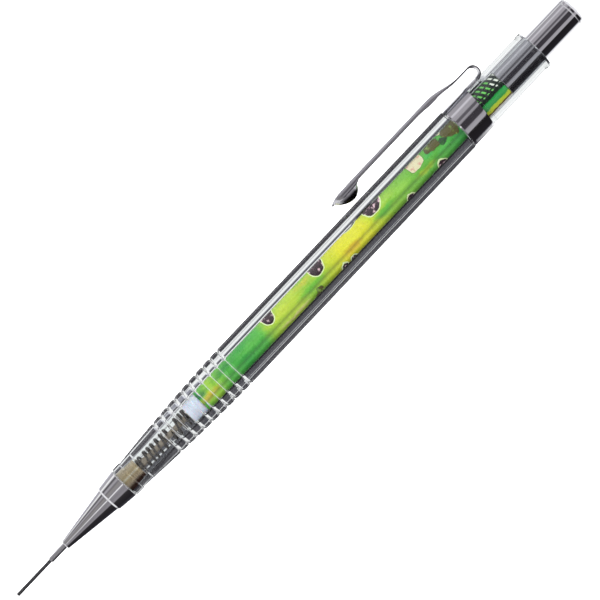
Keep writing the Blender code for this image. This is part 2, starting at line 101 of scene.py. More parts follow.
GRIP_START = BARREL_FRONT + 11.7 * MM
GRIP_PITCH = 2.033 * MM
GRIP_GROOVES = 10
GRIP_DEPTH = 0.30 * MM
COLLAR_FRONT = COLLAR_START - 1.2 * MM  # the collar's print starts this far forward, under the clip's band


# ---- mesh helpers ----
def link(name, mesh, material, body, replaced=(), slot=None, sharp=SHARP):
    """A finished piece: shaded, coloured, riding on its body and standing for its CAD nodes."""
    mesh.shade_smooth()
    mesh.set_sharp_from_angle(angle=sharp)
    mesh.materials.append(material)
    piece = bpy.data.objects.new(name, mesh)
    bpy.context.scene.collection.objects.link(piece)
    if body:
        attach(piece, body)
    if replaced:
        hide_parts(*replaced)
    return piece


def rounded(profile, radius, closed):
    """The profile with each corner turned into a short arc."""
    least_turn, points = math.radians(12), 4
    out = []
    count = len(profile)
    for i, (x, r) in enumerate(profile):
        at = Vector((x, r))
        if not closed and i in (0, count - 1):
            out.append((x, r))
            continue
        to_last = Vector(profile[i - 1]) - at
        to_next = Vector(profile[(i + 1) % count]) - at
        turn = math.pi - to_last.angle(to_next, 0.0)
        cut = min(radius, 0.4 * to_last.length, 0.4 * to_next.length)
        if turn < least_turn or cut < 1e-7:
            out.append((x, r))
            continue
        a = at + to_last.normalized() * cut
        b = at + to_next.normalized() * cut
        for k in range(points):
            t = k / (points - 1)
            bent = a * (1 - t) ** 2 + at * 2 * t * (1 - t) + b * t * t
            out.append((bent.x, bent.y))
    return out


def held(stations, closed):
    """The stations with extra ones just inside both ends of each long run, so the run shades straight."""
    long_run, inset = 0.25 * MM, 0.04 * MM
    out = []
    count = len(stations)
    for i, here in enumerate(stations):
        out.append(here)
        if i == count - 1 and not closed:
            break
        there = stations[(i + 1) % count]
        length = math.dist(here[:2], there[:2])
        if length > long_run:
            for share in (inset / length, 1 - inset / length):
                out.append(tuple(a + (b - a) * share for a, b in zip(here, there)))
    return out


def ring_mesh(name, loops, closed_tube, pole_start=False, pole_end=False):
    """A mesh from loops of points; closed_tube joins the last loop to the first."""
    count = len(loops[0])
    verts = [p for loop in loops for p in loop]
    faces = []
    pairs = list(zip(range(len(loops)), range(1, len(loops))))
    if closed_tube:
        pairs.append((len(loops) - 1, 0))
    for a, b in pairs:
        for k in range(count):
            n = (k + 1) % count
            faces.append((a * count + k, a * count + n, b * count + n, b * count + k))
    if pole_start:
        faces.append(tuple(reversed(range(count))))
    if pole_end:
        faces.append(tuple((len(loops) - 1) * count + k for k in range(count)))
    mesh = bpy.data.meshes.new(name)
    mesh.from_pydata(verts, [], faces)
    bm = bmesh.new()
    bm.from_mesh(mesh)
    bmesh.ops.recalc_face_normals(bm, faces=bm.faces[:])
    bm.to_mesh(mesh)
    bm.free()
    return mesh


def round_axis(x, r, angle):
    """The point at a station, a radius and an angle from straight up towards the clip's side."""
    return x, r * math.sin(angle), AXIS_Z + r * math.cos(angle)


def circle(x, r, count):
    return [round_axis(x, r, 2 * math.pi * k / count) for k in range(count)]


def near(x, r, *shifts):
    """Profile points round a station and a radius, each shifted by (along, outward) in millimetres."""
    return [(x + along * MM, r + outward * MM) for along, outward in shifts]


def sleeve(start, end, bore, radius, rear_bore=None):
    """The closed profile of a plain tube, whose bore may differ at its rear."""
    return [(start, bore), (start, radius), (end, radius), (end, rear_bore or bore)]


def turned_tube(name, profile, soft, count, *looks):
    """A turned piece with a hole through it, from a closed profile; looks are the rest that link takes."""
    outline = held(rounded(profile, soft, closed=True), closed=True)
    link(name, ring_mesh(name, [circle(x, r, count) for x, r in outline], closed_tube=True), *looks)


def solid_mesh(name, loops):
    return ring_mesh(name, loops, closed_tube=False, pole_start=True, pole_end=True)


# ---- material helpers ----
def linear(hex_colour):
    """A linear RGBA colour from sRGB hex digits."""
    parts = [int(hex_colour[i:i + 2], 16) / 255 for i in (0, 2, 4)]
    return (*[c / 12.92 if c <= 0.04045 else ((c + 0.055) / 1.055) ** 2.4 for c in parts], 1)


class Nodes:
    """Short calls for the nodes that the looks and the surroundings share."""

    def __init__(self, tree, coordinate):
        self.tree = tree
        self.place = self.node("ShaderNodeTexCoord").outputs[coordinate]

    def node(self, kind, **settings):
        made = self.tree.nodes.new(kind)
        for key, value in settings.items():
            setattr(made, key, value)
        return made

    def join(self, source, target):
        self.tree.links.new(source, target)

    def feed(self, sockets, values):
        """Links each value that is an output, and sets each one that is a number or a colour."""
        for socket, value in zip(sockets, values):
            if isinstance(value, (int, float, tuple)):
                socket.default_value = value
            elif value is not None:
                self.join(value, socket)

    def math(self, operation, a, b=None):
        made = self.node("ShaderNodeMath", operation=operation)
        self.feed(made.inputs, (a, b))
        return made.outputs[0]

    def mix(self, share, a, b, blend="MIX"):
        made = self.node("ShaderNodeMix", data_type="RGBA", blend_type=blend)
        self.feed((made.inputs[0], made.inputs[6], made.inputs[7]), (share, a, b))
        return made.outputs[2]

    def over(self, source, low, high, clamp=True):
        """0 to 1 as the source goes from low to high."""
        made = self.node("ShaderNodeMapRange", clamp=clamp)
        self.join(source, made.inputs["Value"])
        made.inputs["From Min"].default_value = low
        made.inputs["From Max"].default_value = high
        return made.outputs["Result"]

    def ramp(self, source, stops):
        ramp = self.node("ShaderNodeValToRGB")
        elements = ramp.color_ramp.elements
        while len(elements) < len(stops):
            elements.new(0.5)
        for element, (at, colour) in zip(elements, stops):
            element.position = at
            element.color = colour
        self.join(source, ramp.inputs["Fac"])
        return ramp.outputs["Color"]

    def grey_ramp(self, source, stops):
        return self.ramp(source, [(at, (v, v, v, 1)) for at, v in stops])

    def tone_ramp(self, source, stops):
        return self.ramp(source, [(at, linear(tone)) for at, tone in stops])

    def xyz(self):
        split = self.node("ShaderNodeSeparateXYZ")
        self.join(self.place, split.inputs[0])
        return split.outputs


class Look(Nodes):
    """A material on the Principled shader, with places taken from the pencil's own axes."""

    def __init__(self, name):
        self.material = bpy.data.materials.new(name)
        self.material.use_nodes = True
        super().__init__(self.material.node_tree, "Object")
        self.shader = self.tree.nodes["Principled BSDF"]

    def set(self, **sockets):
        for key, value in sockets.items():
            self.shader.inputs[key.replace("_", " ")].default_value = value

    def colour(self, source):
        self.join(source, self.shader.inputs["Base Color"])

    def rough(self, source, *stops):
        self.join(self.grey_ramp(source, stops), self.shader.inputs["Roughness"])

    def noise(self, scale, detail=3.0, stretch=(1, 1, 1)):
        mapping = self.node("ShaderNodeMapping")
        mapping.inputs["Scale"].default_value = stretch
        self.join(self.place, mapping.inputs["Vector"])
        noise = self.node("ShaderNodeTexNoise")
        noise.inputs["Scale"].default_value = scale
        noise.inputs["Detail"].default_value = detail
        self.join(mapping.outputs["Vector"], noise.inputs["Vector"])
        return noise.outputs["Fac"]

    def sway(self, scale, amount, detail=3.0):
        """A noise about 0, to shift a place by."""
        return self.math("MULTIPLY", self.math("SUBTRACT", self.noise(scale, detail), 0.5), amount)

    def bump(self, height, strength):
        made = self.node("ShaderNodeBump")
        made.inputs["Strength"].default_value = strength
        made.inputs["Distance"].default_value = BUMP_DEPTH
        self.join(height, made.inputs["Height"])
        self.join(made.outputs["Normal"], self.shader.inputs["Normal"])

    def along(self, start, end):
        """0 to 1 between two stations along the pencil, and on past them."""
        return self.over(self.xyz()["X"], start, end, clamp=False)

    def around(self):
        """0 to 1 round the pencil's axis, 0.5 at the top (+Z) and 0.75 at the clip's side (+Y)."""
        axes = self.xyz()
        angle = self.math("ARCTAN2", axes["Y"], self.math("SUBTRACT", axes["Z"], AXIS_Z))
        return self.math("ADD", self.math("DIVIDE", angle, 2 * math.pi), 0.5)


BUMP_DEPTH = 0.01 * MM
BRUSHED = (400, 4000, 4000)  # noise stretched along the piece
SPUN = (2500, 500, 500)  # noise in rings round it


def metal(name, colour, rough, streak=0.10, grain=BRUSHED, wear=0.12, metallic=1.0):
    """Plated or drawn metal: fine marks along the piece and slightly uneven gloss."""
    look = Look(name)
    look.set(Metallic=metallic)
    marks = look.noise(1.0, 4.0, grain)
    tint = look.grey_ramp(marks, [(0.3, 1 - streak), (0.7, 1.0)])
    look.colour(look.mix(1.0, linear(colour), tint, "MULTIPLY"))
    look.rough(look.noise(260.0), (0.3, rough), (0.75, rough + wear))
    look.bump(marks, 0.12)
    return look.material


def plastic(name, colour, rough, speck=0.06, scale=900.0, **more):
    """Moulded or drawn matter: a faint cloud in its colour, gloss and surface."""
    look = Look(name)
    look.set(**more)
    cloud = look.noise(scale)
    tint = look.grey_ramp(cloud, [(0.3, 1 - speck), (0.7, 1.0)])
    look.colour(look.mix(1.0, linear(colour), tint, "MULTIPLY"))
    look.rough(cloud, (0.3, rough), (0.7, rough + 0.08))
    look.bump(cloud, 0.10)
    return look.material


def clear_plastic():
    """Polished clear plastic with frosted groove bottoms; it lets lamps through to what it holds."""
    look = Look("clear_barrel_plastic")
    look.set(IOR=1.49, Base_Color=linear("F7FAFA"), Transmission_Weight=1.0)
    look.rough(look.noise(700.0, 2.0), (0.35, 0.0), (0.8, 0.012))
    grip = look.along(GRIP_START, GRIP_START + GRIP_PITCH)
    near = look.math("SUBTRACT", look.math("FRACT", look.math("ADD", grip, 0.5)), 0.5)
    line = look.grey_ramp(look.math("ABSOLUTE", near), [(0.015, 0.55), (0.06, 0.0)])
    first = look.math("GREATER_THAN", grip, -0.3)
    last = look.math("LESS_THAN", grip, GRIP_GROOVES - 0.7)
    frost = look.math("MULTIPLY", line, look.math("MULTIPLY", first, last))

    def bare(kind, colour):
        made = look.node(kind)
        made.inputs["Color"].default_value = colour
        return made.outputs[0]

    def blended(share, a, b):
        made = look.node("ShaderNodeMixShader")
        look.feed(made.inputs, (share, a, b))
        return made.outputs[0]

    chalk = (0.9, 0.9, 0.9, 1)
    groove = blended(0.5, bare("ShaderNodeBsdfTranslucent", chalk), bare("ShaderNodeBsdfDiffuse", chalk))
    body = blended(frost, look.shader.outputs[0], groove)
    shadow_ray = look.node("ShaderNodeLightPath").outputs["Is Shadow Ray"]
    clear = bare("ShaderNodeBsdfTransparent", (0.93, 0.94, 0.94, 1))
    look.join(blended(shadow_ray, body, clear), look.tree.nodes["Material Output"].inputs["Surface"])
    return look.material


FILM_COLOURS = [  # share of the film's length, colour
    (0.000, "2F8F3A"), (0.022, "6DB544"), (0.050, "9CC63F"), (0.080, "57AC47"), (0.150, "3F9F45"),
    (0.215, "57B04A"), (0.260, "A9CC45"), (0.330, "B9D148"), (0.380, "8FC144"), (0.430, "B6CC3F"),
    (0.500, "E0DB3C"), (0.585, "DEDC3E"), (0.625, "B4CF42"), (0.665, "8FC246"), (0.760, "74B748"),
    (0.840, "5CAC46"), (0.900, "469E48"), (1.000, "2F8540"),
]
# soft colour fields on the film: station from the sleeve's mouth and half length (mm), turn round the axis
# and half width (shares of a turn, 0.5 on top), strength, colour
FIELDS = [
    (43.6, 2.6, 0.475, 0.055, 0.95, "C9B83C"), (42.0, 1.8, 0.560, 0.050, 0.90, "1F5A38"),
    (48.5, 3.5, 0.570, 0.040, 0.60, "2C7A3C"), (56.0, 5.0, 0.535, 0.060, 0.50, "6CBE54"),
    (63.5, 4.5, 0.540, 0.060, 0.80, "C4D44C"), (66.0, 5.0, 0.400, 0.022, 0.85, "E0D890"),
    (71.0, 3.0, 0.590, 0.040, 0.60, "D6C448"), (72.0, 5.0, 0.480, 0.050, 0.80, "6FBE46"),
    (82.5, 2.8, 0.455, 0.060, 0.80, "E2B93A"), (84.0, 4.0, 0.530, 0.060, 0.60, "E0DE4A"),
    (91.5, 3.4, 0.480, 0.055, 0.80, "5CB648"), (93.0, 3.5, 0.570, 0.040, 0.75, "A6CF56"),
    (97.0, 3.0, 0.530, 0.060, 0.75, "9AD058"), (102.5, 2.8, 0.455, 0.035, 0.85, "AECB3E"),
    (104.5, 1.6, 0.560, 0.050, 0.60, "4FB860"), (108.0, 2.0, 0.480, 0.040, 0.55, "66C862"),
    (114.0, 3.5, 0.450, 0.060, 0.60, "2F9A50"),
]
# by turn round the axis, 0.5 on top: the film's painted shade and highlight, the collar's print and the brass
# bush's painted highlight and shade
FILM_LIGHT_AND_SHADE = [(0.375, 0.45), (0.400, 0.62), (0.414, 1.0), (0.428, 1.0),
          (0.440, 0.60), (0.450, 0.40), (0.468, 0.80), (0.5, 1.0)]
COLLAR_BANDS = [
    (0.0, "1C1F1A"), (0.18, "E9E6D8"), (0.344, "F2EFE2"), (0.350, "5A3A1E"), (0.366, "4A2F1A"),
    (0.372, "CFD44A"), (0.408, "B7C93A"), (0.416, "1E8A3C"), (0.470, "2A9A46"), (0.480, "16241A"),
    (1.0, "111511"),
]
# the brass bush's painted highlight on top and painted shade on the side away from the clip
BRASS_LIGHT_AND_SHADE = [
    (0.28, "4A322E"), (0.39, "604438"), (0.42, "BCA88C"), (0.49, "E2CCA0"), (0.51, "FFF6DC"),
    (0.53, "E2CEA2"), (0.60, "D4C3A2"), (0.66, "E8DCC2"), (0.70, "F4EFE2"),
]
PRINT_GLOSS = ((0.3, 0.22), (0.7, 0.38))


def film_print():
    """Green to yellow gradient print with soft fields of colour; painted shade darkens the side away from the
    clip, with a darker painted stripe and a paler band under it.
    """
    look = Look("gradient_film")
    look.set(Specular_IOR_Level=0.5)
    place = look.math("ADD", look.along(FILM_START, FILM_END), look.sway(230.0, 0.055))
    colour = look.tone_ramp(place, FILM_COLOURS)
    station = look.math("DIVIDE", look.math("SUBTRACT", look.xyz()["X"], SLEEVE_TIP), MM)
    flat = look.node("ShaderNodeCombineXYZ")
    look.feed(flat.inputs, (look.math("ADD", station, look.sway(700.0, 3.0)),
                            look.math("ADD", look.around(), look.sway(600.0, 0.06))))
    for at, half, turn, wide, strength, tone in FIELDS:
        local = look.node("ShaderNodeMapping", vector_type="TEXTURE")
        look.join(flat.outputs[0], local.inputs["Vector"])
        local.inputs["Location"].default_value = (at, turn, 0)
        local.inputs["Scale"].default_value = (half, wide, 1)
        far = look.node("ShaderNodeVectorMath", operation="LENGTH")
        look.join(local.outputs[0], far.inputs[0])
        share = look.grey_ramp(far.outputs["Value"], [(0.35, strength), (1.0, 0.0)])
        colour = look.mix(share, colour, linear(tone))
    # painted light and shade: darker on the side away from the clip, with a dark stripe and a pale band by
    # turn round the axis
    colour = look.mix(0.75, colour, look.grey_ramp(look.around(), FILM_LIGHT_AND_SHADE), "MULTIPLY")
    grain = look.grey_ramp(look.noise(2600.0, 4.0), [(0.3, 0.88), (0.7, 1.06)])
    look.colour(look.mix(1.0, colour, grain, "MULTIPLY"))
    look.rough(look.noise(500.0), *PRINT_GLOSS)
    return look.material


def collar_print():
    """Printed collar: dark field with slanted dashes, then green, lime and a brown wavy edge."""
    look = Look("collar_bands")
    turn = look.math("ADD", look.around(), look.sway(900.0, 0.03, 2.0))
    bands = look.tone_ramp(turn, COLLAR_BANDS)
    dashes_per_metre, dashes_per_turn, rows_per_turn = 900.0, 9.0, 17.0
    slant = look.math("ADD", look.math("MULTIPLY", look.xyz()["X"], dashes_per_metre),
                      look.math("MULTIPLY", look.around(), dashes_per_turn))
    dash = look.math("GREATER_THAN", look.math("FRACT", slant), 0.62)
    field = look.math("MULTIPLY", dash, look.math("GREATER_THAN", turn, 0.52))
    rows = look.math("FRACT", look.math("MULTIPLY", look.around(), rows_per_turn))
    field = look.math("MULTIPLY", field, look.math("GREATER_THAN", rows, 0.30))
    rear = look.math("GREATER_THAN", look.xyz()["X"], COLLAR_START + 3.3 * MM)
    marks = look.mix(rear, linear("6FC760"), linear("E4E8DC"))
    look.colour(look.mix(field, bands, marks))
    look.rough(look.noise(500.0), *PRINT_GLOSS)
    return look.material


def motif(name, dark, pale, scale):
    """An abstract printed patch: dark mottling with pale flecks."""
    look = Look(name)
    look.colour(look.tone_ramp(look.noise(scale, 2.0), [(0.38, dark), (0.55, dark), (0.66, pale)]))
    look.rough(look.noise(600.0), (0.3, 0.25), (0.7, 0.40))
    return look.material


def clip_metal():
    """Plated spring sheet, with painted shade: near-black metal under the hollow of its ball."""
    look = Look("clip_metal")
    look.set(Metallic=1.0)
    marks = look.noise(1.0, 4.0, BRUSHED)
    tint = look.grey_ramp(marks, [(0.3, 0.88), (0.7, 1.0)])
    plated = look.mix(1.0, linear("DCDCE0"), tint, "MULTIPLY")
    # painted shade: under the ball's hollow, ahead of the arm's rear, the plating gives way to near-black
    # 2A282A
    sheet = look.over(look.xyz()["Y"], CLIP_TOP - 2.0 * MM, CLIP_TOP - 1.5 * MM)
    behind = look.math("GREATER_THAN", look.xyz()["X"], CLIP_TIP + 9.0 * MM)
    look.colour(look.mix(look.math("MAXIMUM", sheet, behind), linear("2A282A"), plated))
    look.rough(look.noise(260.0), (0.3, 0.12), (0.75, 0.24))
    look.bump(marks, 0.12)
    return look.material


def turned_brass():
    """Brass with a painted cream highlight along the top, paler towards the clip's side, and painted shade,
    dark brown, towards the other side.
    """
    look = Look("turned_brass")
    look.set(Metallic=0.8)
    rings = look.grey_ramp(look.noise(1.0, 3.0, (5000, 300, 300)), [(0.3, 0.78), (0.7, 1.0)])
    # painted light: highlight and shade painted by turn round the axis
    look.colour(look.mix(1.0, look.tone_ramp(look.around(), BRASS_LIGHT_AND_SHADE), rings, "MULTIPLY"))
    look.rough(look.noise(400.0), (0.3, 0.20), (0.7, 0.36))
    look.bump(rings, 0.2)
    return look.material


CLEAR = clear_plastic()
CHROME = metal("cone_chrome", "F2F2F4", 0.05, 0.08, wear=0.05)
CAP_CHROME = metal("cap_chrome_fine", "F2F2F5", 0.05, 0.10, wear=0.05)
CLIP_METAL = clip_metal()
BAND_METAL = metal("band_metal", "F0F0F3", 0.07, 0.08, wear=0.06)
SLEEVE_METAL = metal("sleeve_metal", "E4E4E6", 0.14, 0.12)
HOUSING_BRASS = turned_brass()
STEM_BRASS = metal("stem_bronze", "9A8E7E", 0.35, 0.20, (3000, 500, 500), metallic=0.35)
JAW_BRASS = metal("jaw_brass_fine", "C0A264", 0.22, 0.15, SPUN)
RING_BRASS = metal("ring_brass_fine", "A98D50", 0.22, 0.15, SPUN)
SPRING_METAL = metal("spring_wire", "54504C", 0.20, 0.25, (1500, 1500, 1500), metallic=0.75)
PIN_METAL = metal("pin_wire", "A5A5A8", 0.25, 0.12)
MILKY = plastic("milky_connector", "C6CAD8", 0.30, 0.05, Subsurface_Weight=0.35, Subsurface_Scale=0.6 * MM)
TUBE_WHITE = plastic("lead_tube_white", "DCDCD8", 0.40)
GRAPHITE = plastic("polished_graphite", "363638", 0.26, 0.30, 2500.0, Specular_IOR_Level=0.9, Metallic=0.35)
SPARE_GRAPHITE = plastic("spare_graphite_fine", "3C3C3E", 0.30, 0.30, 2500.0, Metallic=0.3)
RUBBER = plastic("retainer_rubber_fine", "1D1D1E", 0.62, 0.10)
VINYL = plastic("eraser_vinyl_fine", "EDEDE8", 0.62, 0.05)
FERRULE_WHITE = plastic("ferrule_plastic_fine", "D6D3CA", 0.38)
FILM = film_print()
COLLAR = collar_print()
BLOTCH = motif("dark_patch", "33242A", "E6C4CC", 1300.0)
LEAF = motif("cream_patch", "E2D9B4", "D8A48E", 1300.0)
OLIVE = motif("olive_patch", "55512C", "7E9A4A", 1100.0)
SHADE = motif("shade_patch", "2E4A30", "3F6B3A", 1200.0)
OUTLINE = plastic("pale_outline", "E3F0B8", 0.35, 0.04)

# ---- barrel ----
FLATS_START = BARREL_FRONT + 1.9 * MM  # the flats start behind a round collar
FRONT_AF = 6.40 * MM  # across the flats there
FRONT_R = 3.33 * MM
GRIP_END = GRIP_START + (GRIP_GROOVES - 1) * GRIP_PITCH + 0.4 * MM
SWELL = 1.65  # how soon the grip reaches full width
FLAT_TAPER = 4.6 * MM  # the flats fade in over this length
BORE_R = FILM_R + 0.10 * MM
NECK_BORE_R = CAP_R + 0.08 * MM
NECK_R = BAND_HIGH[2] - AXIS_Z - 0.26 * MM
BAND_START = BAND_LOW[0] - 0.05 * MM
BAND_END = BARREL_END - 14.7 * MM
FLAT_TURN = math.pi / 6
EDGE_ROUND = 0.985  # a corner between two flats is rounded off to this share of its sharp radius


def across_flats(x):
    t = min(1.0, (x - FLATS_START) / (GRIP_END - FLATS_START))
    return FRONT_AF + (2 * BARREL_HALF - FRONT_AF) * (1 - (1 - t) ** SWELL)


def flatness(x):
    return min(1.0, max(0.0, (x - FLATS_START) / FLAT_TAPER))


def barrel_loop(x, apothem, flat):
    """A ring of the barrel: round where flat is 0, twelve-sided where it is 1."""
    loop = []
    corner = apothem / math.cos(FLAT_TURN / 2)
    for k in range(BARREL_ROUND):
        a = 2 * math.pi * k / BARREL_ROUND
        off = (a + FLAT_TURN / 2) % FLAT_TURN - FLAT_TURN / 2
        sided = min(apothem / math.cos(off), corner * EDGE_ROUND)
        loop.append(round_axis(x, apothem + (sided - apothem) * flat, a))
    return loop


def grip_grooves():
    """Stations over the grooves, which are narrow and sit at whole pitches."""
    fine = 14  # stations to a pitch
    for i in range((GRIP_GROOVES + 1) * fine):
        t = i / fine - 0.5
        ring = abs(2 * (t % 1.0) - 1) ** 6
        past = max(-t, t - GRIP_GROOVES + 1)  # pitches before the first groove or after the last
        if past > 0:
            ring = max(0.0, 1 - past * 5) ** 1.6
        x = GRIP_START + t * GRIP_PITCH
        yield x, across_flats(x) / 2 - GRIP_DEPTH * ring, flatness(x)


def barrel_outside():
    """(station, radius or apothem, flatness) along the barrel."""
    nose = near(BARREL_FRONT, FRONT_R, (0, -0.10), (0.03, -0.03), (0.12, 0))
    nose += near(FLATS_START, FRONT_R, (-0.20, 0), (-0.13, -0.02))
    nose += near(FLATS_START, FRONT_AF / 2, (-0.05, 0.03))
    stations = [(x, r, 0) for x, r in nose]
    taper, rows = GRIP_START - 0.6 * GRIP_PITCH - FLATS_START, 24
    for k in range(rows + 1):
        x = FLATS_START + taper * k / rows
        stations.append((x, across_flats(x) / 2, flatness(x)))
    stations += grip_grooves()
    start = GRIP_START + (GRIP_GROOVES + 0.6) * GRIP_PITCH
    plain, rows = BAND_START - 0.30 * MM - start, 12
    stations += [(start + plain * k / rows, BARREL_HALF, 1) for k in range(rows + 1)]
    for flat, shift in ((1, (-0.12, -0.03)), (0.7, (-0.04, -0.16))):
        stations += [(x, r, flat) for x, r in near(BAND_START, BARREL_HALF, shift)]
    bed = NECK_R - 0.07 * MM  # under the band
    rear = [(BAND_START, bed), (BAND_END + TOUCH, bed), (BAND_END + 2 * TOUCH, NECK_R)]
    neck, rows = BARREL_END - 1.2 * MM - BAND_END, 8
    rear += [(BAND_END + 2 * TOUCH + neck * k / rows, NECK_R) for k in range(1, rows + 1)]
    rear += near(BARREL_END, NECK_R, (-0.95, 0.08), (-0.8, 0.10), (-0.2, 0.10), (-0.05, 0.06), (0, -0.04))
    return stations + [(x, r, 0) for x, r in rear]


def barrel():
    step = COLLAR_FRONT - 3.2 * MM  # where the bore widens for the cap
    bush = HOUSING_R + TOUCH
    inside = near(BARREL_END, NECK_BORE_R, (0, 0.10), (-0.05, 0.03), (-0.2, 0))
    inside += near(step, NECK_BORE_R, (0.55, 0), (0.45, -0.04)) + near(step, BORE_R, (0.05, 0.04), (0, 0))
    inside += near(HOUSING_END, BORE_R, (0.6, 0)) + near(HOUSING_END, bush, (0.3, 0)) + [(BARREL_FRONT, bush)]
    loops = [barrel_loop(*station) for station in held(barrel_outside(), closed=False)]
    loops += [circle(x, r, BARREL_ROUND) for x, r in held(inside, closed=False)]
    mesh = ring_mesh("barrel_clear", loops, closed_tube=True)
    link("barrel_clear", mesh, CLEAR, "barrel", ["barrel"], "clear_plastic", sharp=math.radians(28))


barrel()


# ---- tip ----
def tip():
    """Plated cone with its step, the sleeve in its mouth and the rubber retainer in its pocket."""
    ridge = BARREL_FRONT - 4.53 * MM
    tip_r, ridge_r, step = 0.925 * MM, 2.50 * MM, 0.30 * MM
    seat = HOUSING_R + 0.08 * MM
    seat_start = HOUSING_START - 0.3 * MM
    ring_room = RING_R + 0.10 * MM
    lead_room = LEAD_R + 0.1 * MM
    cavity = 1.50 * MM
    pocket = RETAINER_R + TOUCH
    ring_stop = RING_START - 0.85 * MM
    cavity_start = RETAINER_START + 2.78 * MM
    outline = [(CONE_TIP, SLEEVE_R + TOUCH)] + near(CONE_TIP, tip_r, (0, -0.10), (0.10, 0))
    outline += near(ridge, ridge_r, (-0.06, 0), (-0.02, -0.02)) + near(ridge, ridge_r + step, (0.28, 0))
    outline += near(CONE_END, CONE_R, (-0.22, 0), (0, -0.22))
    outline += [(CONE_END, seat), (seat_start, seat), (seat_start, ring_room), (ring_stop, ring_room)]
    outline += [(ring_stop, cavity), (cavity_start, cavity), (cavity_start, pocket)]
    outline += [(RETAINER_START - TOUCH, pocket), (RETAINER_START - TOUCH, lead_room)]
    outline += [(SLEEVE_END + TOUCH, lead_room), (SLEEVE_END + TOUCH, SLEEVE_R + TOUCH)]
    turned_tube("cone_plated", outline, 0.05 * MM, FINE_ROUND, CHROME, "tip", ["cone"], "chrome")
    outline = sleeve(SLEEVE_TIP, SLEEVE_END, LEAD_R + PLAY, SLEEVE_R)
    turned_tube("sleeve_drawn", outline, 0.05 * MM, THIN_ROUND, SLEEVE_METAL, "tip", ["lead_sleeve"],
                "sleeve_steel")
    bore = LEAD_R + TOUCH
    outline = sleeve(RETAINER_START, RETAINER_END, bore, RETAINER_R, bore + 0.13 * MM)
    outline.append((RETAINER_END - 0.4 * MM, bore))
    turned_tube("retainer_ring", outline, 0.05 * MM, THIN_ROUND, RUBBER, "tip_nut", ["lead_retainer"],
                "retainer_rubber")


# ---- lead ----
def lead():
    profile = [(LEAD_TIP, LEAD_R * 0.72), (LEAD_TIP + 0.10 * MM, LEAD_R), (LEAD_END, LEAD_R)]
    loops = [circle(x, r, 32) for x, r in rounded(profile, 0.05 * MM, closed=False)]
    link("lead_point", solid_mesh("lead_point", loops), GRAPHITE, "lead", ["lead"], "graphite")


# ---- chuck ----
def housing():
    """Brass bush: a threaded spigot for the cone, a seat, a bright collar and a plain nose."""
    bore = STEM_R + 0.15 * MM
    seat = BARREL_FRONT + 1.8 * MM
    outline = [(HOUSING_START, bore)] + near(HOUSING_START, HOUSING_R, (0, -0.28), (0.25, -0.22))
    outline += near(BARREL_FRONT, HOUSING_R, (-0.25, -0.22), (-0.1, 0))
    outline += near(seat, HOUSING_R, (0, 0), (0.12, -0.18))
    outline += near(HOUSING_END, HOUSING_R, (-0.7, -0.18), (-0.62, -0.26), (-0.5, -0.26), (-0.42, -0.18),
                    (-0.12, -0.18), (0, -0.30))
    outline.append((HOUSING_END, bore))
    turned_tube("housing_turned", outline, SOFT, ROUND, HOUSING_BRASS, "barrel", ["chuck_housing"],
                "housing_brass")


def housing_thread():
    """The spigot's helical thread, fading in and out over half a turn."""
    pitch, steps = 0.5 * MM, 48
    start = HOUSING_START + 0.35 * MM
    turns = (BARREL_FRONT - 0.35 * MM - start) / pitch
    root, crest = HOUSING_R - 0.26 * MM, HOUSING_R - 0.01 * MM
    root_half, crest_half = 0.19 * MM, 0.04 * MM
    loops = []
    for k in range(int(turns * steps) + 1):
        x = start + pitch * k / steps
        fade = min(1.0, k / steps * 2, (turns * steps - k) / steps * 2)
        top = root + (crest - root) * max(0.05, fade)
        section = ((-root_half, root), (-crest_half, top), (crest_half, top), (root_half, root))
        loops.append([round_axis(x + dx, r, 2 * math.pi * k / steps) for dx, r in section])
    link("housing_thread", solid_mesh("housing_thread", loops), HOUSING_BRASS, "barrel", slot="housing_brass")


def chuck():
    turned_tube("stem_drawn", sleeve(STEM_START, STEM_END, LEAD_R + PLAY, STEM_R), SOFT, SMALL_ROUND,
                STEM_BRASS, "core", ["chuck_stem"], "stem_brass")
    outline = sleeve(RING_START, RING_END, 1.13 * MM, RING_R, STEM_R + 0.12 * MM)
    turned_tube("ring_turned", outline, 0.12 * MM, SMALL_ROUND, RING_BRASS, "clutch_ring", ["clutch_ring"],
                "ring_brass")
    for k in (1, 2, 3):
        NODES[f"jaw_{k}"].material_slots[0].material = JAW_BRASS


tip()
lead()
housing()
housing_thread()
chuck()

# ---- return spring ----
SPRING_TURNS = 12
SPRING_STEPS = 40
WIRE_R = 0.21 * MM
WIRE_ROUND = 12


def spring():
    """A coil with closed end turns and slightly uneven ones between."""
    first = HOUSING_END + WIRE_R + 2 * TOUCH
    last = CONNECTOR_START - WIRE_R - 2 * TOUCH
    closed = 2.1 * WIRE_R / (last - first)  # share of the length that one end turn takes
    loops = []
    for i in range(SPRING_TURNS * SPRING_STEPS + 1):
        turn = i / SPRING_STEPS
        if turn <= 1:
            share = closed * turn
        elif turn >= SPRING_TURNS - 1:
            share = 1 - closed * (SPRING_TURNS - turn)
        else:
            t = (turn - 1) / (SPRING_TURNS - 2)
            uneven = 0.012 * math.sin(5 * math.pi * t) + 0.018 * math.sin(3 * math.pi * t)
            share = closed + (1 - 2 * closed) * (t + uneven)
        a = 2 * math.pi * turn
        out = Vector((0, math.sin(a), math.cos(a)))
        middle = Vector((first + (last - first) * share, 0, AXIS_Z)) + out * (SPRING_OUT - WIRE_R)
        loops.append([tuple(middle + WIRE_R * (out * math.cos(b) + Vector((math.sin(b), 0, 0))))
                      for b in (2 * math.pi * k / WIRE_ROUND for k in range(WIRE_ROUND))])
    piece = link("spring_coil", solid_mesh("spring_coil", loops), SPRING_METAL, None, slot="spring_steel")
    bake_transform(piece)
    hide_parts("return_spring")


spring()


